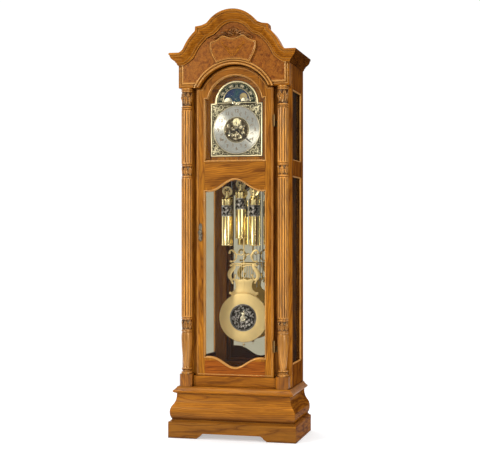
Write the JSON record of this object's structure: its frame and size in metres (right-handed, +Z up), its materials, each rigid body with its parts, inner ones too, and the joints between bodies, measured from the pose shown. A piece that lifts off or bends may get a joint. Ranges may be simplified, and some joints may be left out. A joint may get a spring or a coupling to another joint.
{
  "type": "grandfather clock",
  "caption": "Floor-standing oak longcase clock with a glazed door, arched dial with moon disc, cable weights and a lyre pendulum.",
  "frame": {"origin": "on the floor, under the middle of the clock's footprint", "axes": "+Z up; the front of the clock faces -Y; +X is to the right seen from the front"},
  "size_m": [0.677, 0.405, 2.213],
  "materials": {
    "oak_base": "satin lacquer",
    "oak_case": "satin lacquer",
    "oak_sides": "satin lacquer",
    "oak_crown": "satin lacquer",
    "oak_back": "matt",
    "burl_veneer": "gloss lacquer",
    "carved_wood": "satin, antiqued",
    "oak_door": "satin lacquer",
    "clear_glass": "clear",
    "mirror_glass": "polished",
    "hinge_brass": "satin",
    "antique_brass": "antiqued",
    "movement_brass": "brushed",
    "dial_brass": "satin",
    "moon_enamel": "satin",
    "hand_black": "satin",
    "weight_brass": "polished",
    "cable_steel": "satin",
    "pendulum_brass": "brushed",
    "chime_steel": "satin"
  },
  "bodies": {
    "case": {"plinth_front": "oak_base", "plinth_left": "oak_base", "plinth_right": "oak_base", "bombe_front": "oak_base", "bombe_left": "oak_base", "bombe_right": "oak_base", "waist_deck": "oak_base", "face_frame": "oak_case", "column_pedestal_left": "oak_case", "column_pedestal_right": "oak_case", "column_shaft_left": "oak_case", "column_shaft_right": "oak_case", "column_capital_left": "oak_case", "column_capital_right": "oak_case", "side_frame_left": "oak_sides", "side_frame_right": "oak_sides", "crown_moulding": "oak_crown", "cornice_left": "oak_crown", "cornice_right": "oak_crown", "pediment_board": "oak_crown", "base_back": "oak_back", "back_panel": "oak_back", "roof_board": "oak_back", "seat_board": "oak_back", "pediment_shield": "burl_veneer", "shell_carving": "carved_wood", "side_glass_left": "clear_glass", "side_glass_right": "clear_glass", "back_mirror": "mirror_glass", "hinge_case_lower": "hinge_brass", "hinge_case_upper": "hinge_brass", "movement_frame": "movement_brass", "dial_plate": "dial_brass", "cable_left": "cable_steel", "cable_centre": "cable_steel", "cable_right": "cable_steel", "chime_rods": "chime_steel"},
    "door": {"door_frame": "oak_door", "dial_glass": "clear_glass", "trunk_glass": "clear_glass", "escutcheon": "antique_brass", "hinge_door_lower": "hinge_brass", "hinge_door_upper": "hinge_brass"},
    "key": {"lock_key": "antique_brass"},
    "moon": {"moon_disc": "moon_enamel"},
    "hour": {"hour_hand": "hand_black"},
    "minute": {"minute_hand": "hand_black"},
    "second": {"second_hand": "hand_black"},
    "pendulum": {"pendulum_lyre": "pendulum_brass", "pendulum_bob": "pendulum_brass"},
    "nut": {"rating_nut": "pendulum_brass"},
    "load_left": {"weight_left": "weight_brass"},
    "sheave_left": {"pulley_left": "weight_brass"},
    "drum_left": {"winding_drum_left": "movement_brass"},
    "load_centre": {"weight_centre": "weight_brass"},
    "sheave_centre": {"pulley_centre": "weight_brass"},
    "drum_centre": {"winding_drum_centre": "movement_brass"},
    "load_right": {"weight_right": "weight_brass"},
    "sheave_right": {"pulley_right": "weight_brass"},
    "drum_right": {"winding_drum_right": "movement_brass"}
  },
  "joints": [
    {"name": "door_swing", "type": "hinge", "parent": "case", "child": "door", "pos_m": [0.2125, -0.142, 0], "axis": [0, 0, 1], "range_deg": [0, 100]},
    {"name": "key_turn", "type": "hinge", "parent": "door", "child": "key", "pos_m": [-0.184, -0.13, 1.066], "axis": [0, -1, 0], "range_deg": [0, 90]},
    {"name": "minute_turn", "type": "hinge", "parent": "case", "child": "minute", "pos_m": [0, -0.099, 1.601], "axis": [0, 1, 0], "continuous": true},
    {"name": "hour_turn", "type": "hinge", "parent": "case", "child": "hour", "pos_m": [0, -0.095, 1.601], "axis": [0, 1, 0], "continuous": true},
    {"name": "second_turn", "type": "hinge", "parent": "case", "child": "second", "pos_m": [0, -0.0925, 1.636], "axis": [0, 1, 0], "continuous": true},
    {"name": "moon_turn", "type": "hinge", "parent": "case", "child": "moon", "pos_m": [0, -0.086, 1.745], "axis": [0, 1, 0], "continuous": true},
    {"name": "pendulum_swing", "type": "hinge", "parent": "case", "child": "pendulum", "pos_m": [0, 0.064, 1.5], "axis": [0, 1, 0], "range_deg": [-3, 3]},
    {"name": "nut_turn", "type": "hinge", "parent": "pendulum", "child": "nut", "pos_m": [0, 0.064, 0.466], "axis": [0, 0, 1], "continuous": true},
    {"name": "weight_travel_left", "type": "slide", "parent": "case", "child": "load_left", "axis": [0, 0, 1], "range_m": [-0.6, 0.04], "deforming": ["cable_left"]},
    {"name": "sheave_spin_left", "type": "hinge", "parent": "load_left", "child": "sheave_left", "pos_m": [-0.074, 0, 1.284], "axis": [0, 1, 0], "range_deg": [-1410, 95]},
    {"name": "drum_spin_left", "type": "hinge", "parent": "case", "child": "drum_left", "pos_m": [-0.074, 0, 1.55], "axis": [0, 1, 0], "range_deg": [-2815, 190]},
    {"name": "weight_travel_centre", "type": "slide", "parent": "case", "child": "load_centre", "axis": [0, 0, 1], "range_m": [-0.6, 0.04], "deforming": ["cable_centre"]},
    {"name": "sheave_spin_centre", "type": "hinge", "parent": "load_centre", "child": "sheave_centre", "pos_m": [0, 0, 1.321], "axis": [0, 1, 0], "range_deg": [-1410, 95]},
    {"name": "drum_spin_centre", "type": "hinge", "parent": "case", "child": "drum_centre", "pos_m": [0, 0, 1.55], "axis": [0, 1, 0], "range_deg": [-2815, 190]},
    {"name": "weight_travel_right", "type": "slide", "parent": "case", "child": "load_right", "axis": [0, 0, 1], "range_m": [-0.6, 0.04], "deforming": ["cable_right"]},
    {"name": "sheave_spin_right", "type": "hinge", "parent": "load_right", "child": "sheave_right", "pos_m": [0.074, 0, 1.284], "axis": [0, 1, 0], "range_deg": [-1410, 95]},
    {"name": "drum_spin_right", "type": "hinge", "parent": "case", "child": "drum_right", "pos_m": [0.074, 0, 1.55], "axis": [0, 1, 0], "range_deg": [-2815, 190]}
  ],
  "couplings": [
    {"joint": "hour_turn", "follows": "minute_turn", "ratio": 0.083333},
    {"joint": "second_turn", "follows": "minute_turn", "ratio": 60},
    {"joint": "sheave_spin_left", "follows": "weight_travel_left", "rad_per_m": 40.816},
    {"joint": "drum_spin_left", "follows": "weight_travel_left", "rad_per_m": 81.633},
    {"joint": "sheave_spin_centre", "follows": "weight_travel_centre", "rad_per_m": 40.816},
    {"joint": "drum_spin_centre", "follows": "weight_travel_centre", "rad_per_m": 81.633},
    {"joint": "sheave_spin_right", "follows": "weight_travel_right", "rad_per_m": 40.816},
    {"joint": "drum_spin_right", "follows": "weight_travel_right", "rad_per_m": 81.633}
  ]
}
